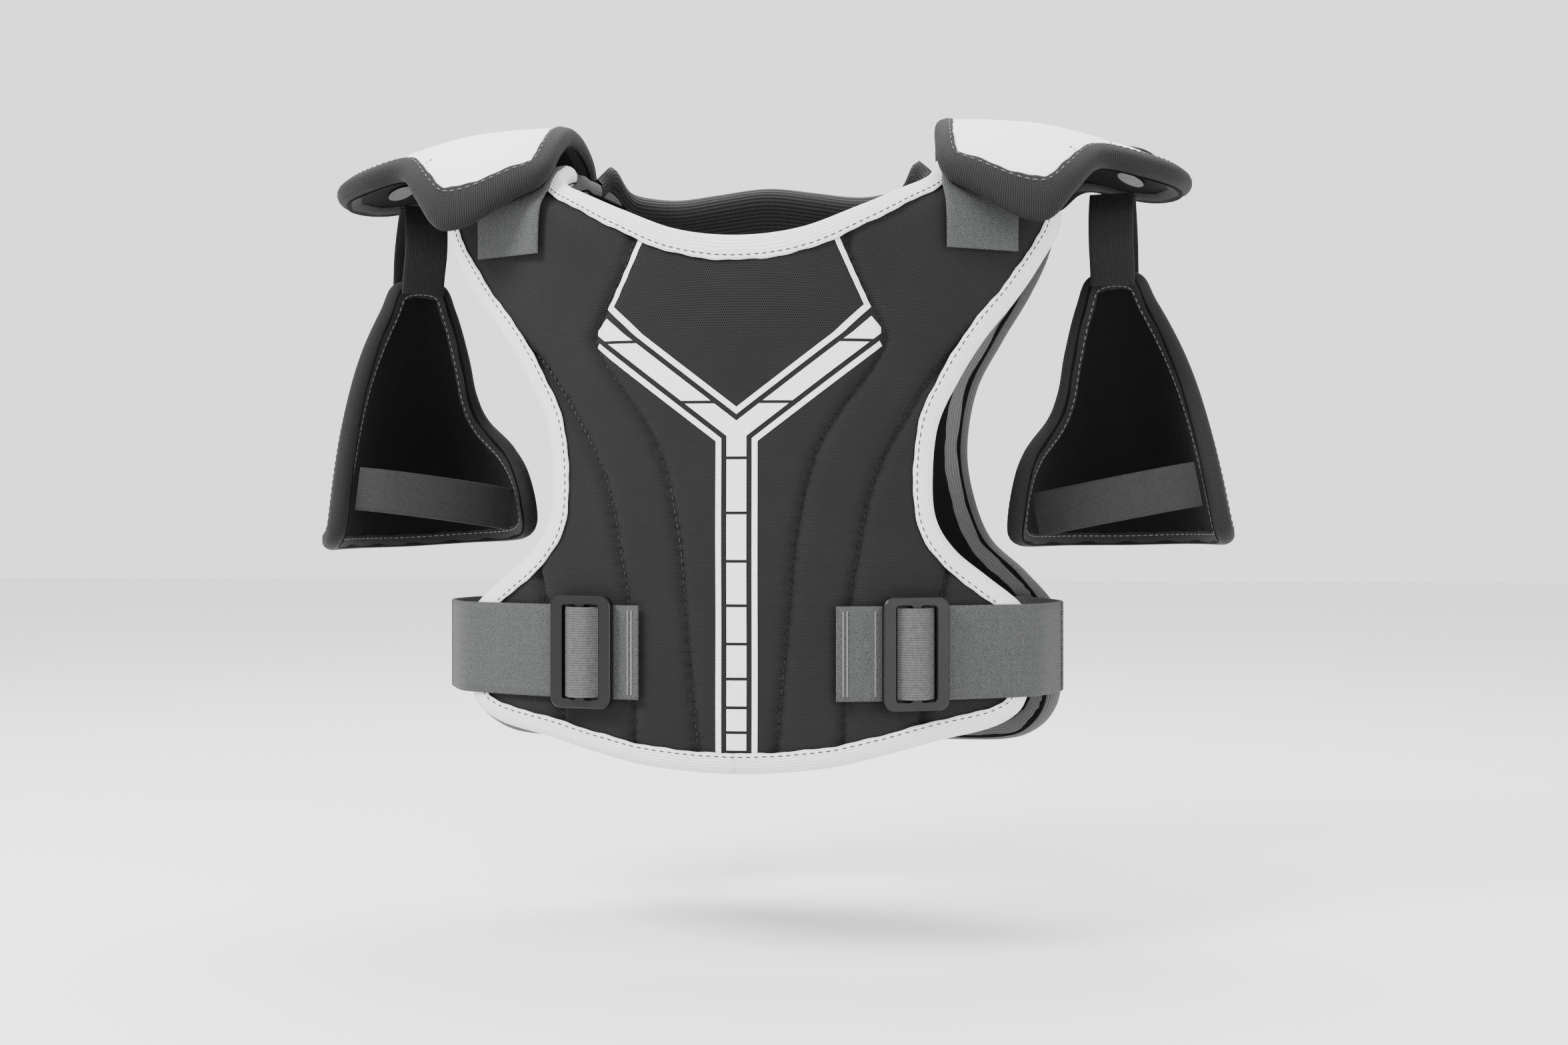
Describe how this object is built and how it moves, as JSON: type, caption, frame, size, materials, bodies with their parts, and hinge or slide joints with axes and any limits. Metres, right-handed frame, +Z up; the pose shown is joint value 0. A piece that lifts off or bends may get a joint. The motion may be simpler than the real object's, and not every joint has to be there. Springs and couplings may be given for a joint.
{
  "type": "ice sports shoulder pads",
  "caption": "Sleeveless quilted chest and back pads with rigid-cored shoulder caps, hanging upper-arm guards and elastic side straps with slide buckles.",
  "frame": {"origin": "midway between the two shoulder straps, at the height where the pads rest on the wearer's shoulders", "axes": "+Z up, -Y the way the wearer faces, +X the wearer's left; left_ and right_ in the node names are the wearer's"},
  "size_m": [0.5293, 0.1947, 0.3654],
  "materials": {
    "chest_fabric": "fine perforated knit",
    "back_fabric": "fine perforated knit",
    "white_tape": "ribbed woven tape",
    "grey_tape": "ribbed woven tape",
    "dark_tape": "cross-ribbed elastic tape",
    "foam": "closed-cell foam",
    "lining": "brushed tricot",
    "collar": "ribbed knit",
    "grey_elastic": "melange woven elastic",
    "black_elastic": "woven elastic",
    "cap_fabric": "fine ribbed knit",
    "guard_fabric": "fine perforated knit",
    "guard_elastic": "woven elastic",
    "hook_pad": "hook fastener",
    "plate": "moulded polyethylene sheet",
    "shell": "moulded polyethylene sheet",
    "hardware": "satin moulded plastic"
  },
  "bodies": {
    "chest": {"chest_cover": "chest_fabric", "chest_lining": "lining", "chest_binding": "white_tape", "heart_plate": "plate", "chest_foam_side_right": "foam", "chest_foam_inner_right": "foam", "chest_foam_centre": "foam", "chest_foam_inner_left": "foam", "chest_foam_side_left": "foam", "left_shoulder_strap_front": "grey_elastic", "right_shoulder_strap_front": "grey_elastic"},
    "back": {"back_cover": "back_fabric", "back_lining": "lining", "back_binding": "grey_tape", "collar_band": "collar", "spine_plate": "plate", "back_foam_right": "foam", "back_foam_centre": "foam", "back_foam_left": "foam", "left_shoulder_strap_rear": "grey_elastic", "right_shoulder_strap_rear": "grey_elastic", "left_side_strap_rear": "grey_elastic", "right_side_strap_rear": "grey_elastic"},
    "left_cap": {"left_cap_cover": "cap_fabric", "left_cap_shell": "shell", "left_cap_foam": "foam", "left_cap_lining": "lining", "left_cap_binding": "dark_tape", "left_cap_rivet": "hardware"},
    "left_hanger": {"left_hanger_band_front": "black_elastic", "left_hanger_band_rear": "black_elastic"},
    "left_guard": {"left_arm_guard_cover": "guard_fabric", "left_arm_guard_foam": "foam", "left_arm_guard_lining": "lining", "left_arm_guard_binding": "dark_tape", "left_arm_guard_strap": "guard_elastic", "left_arm_guard_loop": "guard_elastic"},
    "left_side_strap": {"left_side_strap_front": "grey_elastic", "left_side_strap_hook_pad": "hook_pad"},
    "left_buckle": {"left_slide_buckle": "hardware", "left_strap_loop": "grey_elastic"},
    "right_cap": {"right_cap_cover": "cap_fabric", "right_cap_shell": "shell", "right_cap_foam": "foam", "right_cap_lining": "lining", "right_cap_binding": "dark_tape", "right_cap_rivet": "hardware"},
    "right_hanger": {"right_hanger_band_front": "black_elastic", "right_hanger_band_rear": "black_elastic"},
    "right_guard": {"right_arm_guard_cover": "guard_fabric", "right_arm_guard_foam": "foam", "right_arm_guard_lining": "lining", "right_arm_guard_binding": "dark_tape", "right_arm_guard_strap": "guard_elastic", "right_arm_guard_loop": "guard_elastic"},
    "right_side_strap": {"right_side_strap_front": "grey_elastic", "right_side_strap_hook_pad": "hook_pad"},
    "right_buckle": {"right_slide_buckle": "hardware", "right_strap_loop": "grey_elastic"}
  },
  "joints": [
    {"name": "back_panel_swing", "type": "hinge", "parent": "chest", "child": "back", "pos_m": [0, 0, 0.0197], "axis": [1, 0, 0], "range_deg": [0, 3], "stiffness_Nm_per_rad": 0.6, "deforming": ["left_side_strap_rear", "right_side_strap_rear"]},
    {"name": "left_cap_lift", "type": "hinge", "parent": "chest", "child": "left_cap", "pos_m": [0.104, 0, 0.033], "axis": [0, -1, 0], "range_deg": [0, 60]},
    {"name": "left_hanger_swing", "type": "hinge", "parent": "left_cap", "child": "left_hanger", "pos_m": [0.207, 0, 0.003], "axis": [0.9781, -0.2079, 0], "range_deg": [-20, 30]},
    {"name": "left_guard_spread", "type": "hinge", "parent": "left_hanger", "child": "left_guard", "pos_m": [0.207, 0.014, -0.043], "axis": [-0.2079, -0.9781, 0], "range_deg": [-4, 40]},
    {"name": "left_side_strap_open", "type": "hinge", "parent": "chest", "child": "left_side_strap", "pos_m": [0.173, -0.025, -0.252], "axis": [0, 0, 1], "range_deg": [0, 75]},
    {"name": "left_buckle_slide", "type": "slide", "parent": "left_side_strap", "child": "left_buckle", "axis": [0.9489, 0.3155, 0], "range_m": [-0.01, 0.014]},
    {"name": "right_cap_lift", "type": "hinge", "parent": "chest", "child": "right_cap", "pos_m": [-0.104, 0, 0.033], "axis": [0, 1, 0], "range_deg": [0, 60]},
    {"name": "right_hanger_swing", "type": "hinge", "parent": "right_cap", "child": "right_hanger", "pos_m": [-0.207, 0, 0.003], "axis": [0.848, 0.5299, 0], "range_deg": [-20, 30]},
    {"name": "right_guard_spread", "type": "hinge", "parent": "right_hanger", "child": "right_guard", "pos_m": [-0.207, 0.014, -0.043], "axis": [-0.5299, 0.848, 0], "range_deg": [-4, 40]},
    {"name": "right_side_strap_open", "type": "hinge", "parent": "chest", "child": "right_side_strap", "pos_m": [-0.173, -0.025, -0.252], "axis": [0, 0, -1], "range_deg": [0, 75]},
    {"name": "right_buckle_slide", "type": "slide", "parent": "right_side_strap", "child": "right_buckle", "axis": [-0.9597, 0.2812, 0], "range_m": [-0.01, 0.014]}
  ]
}
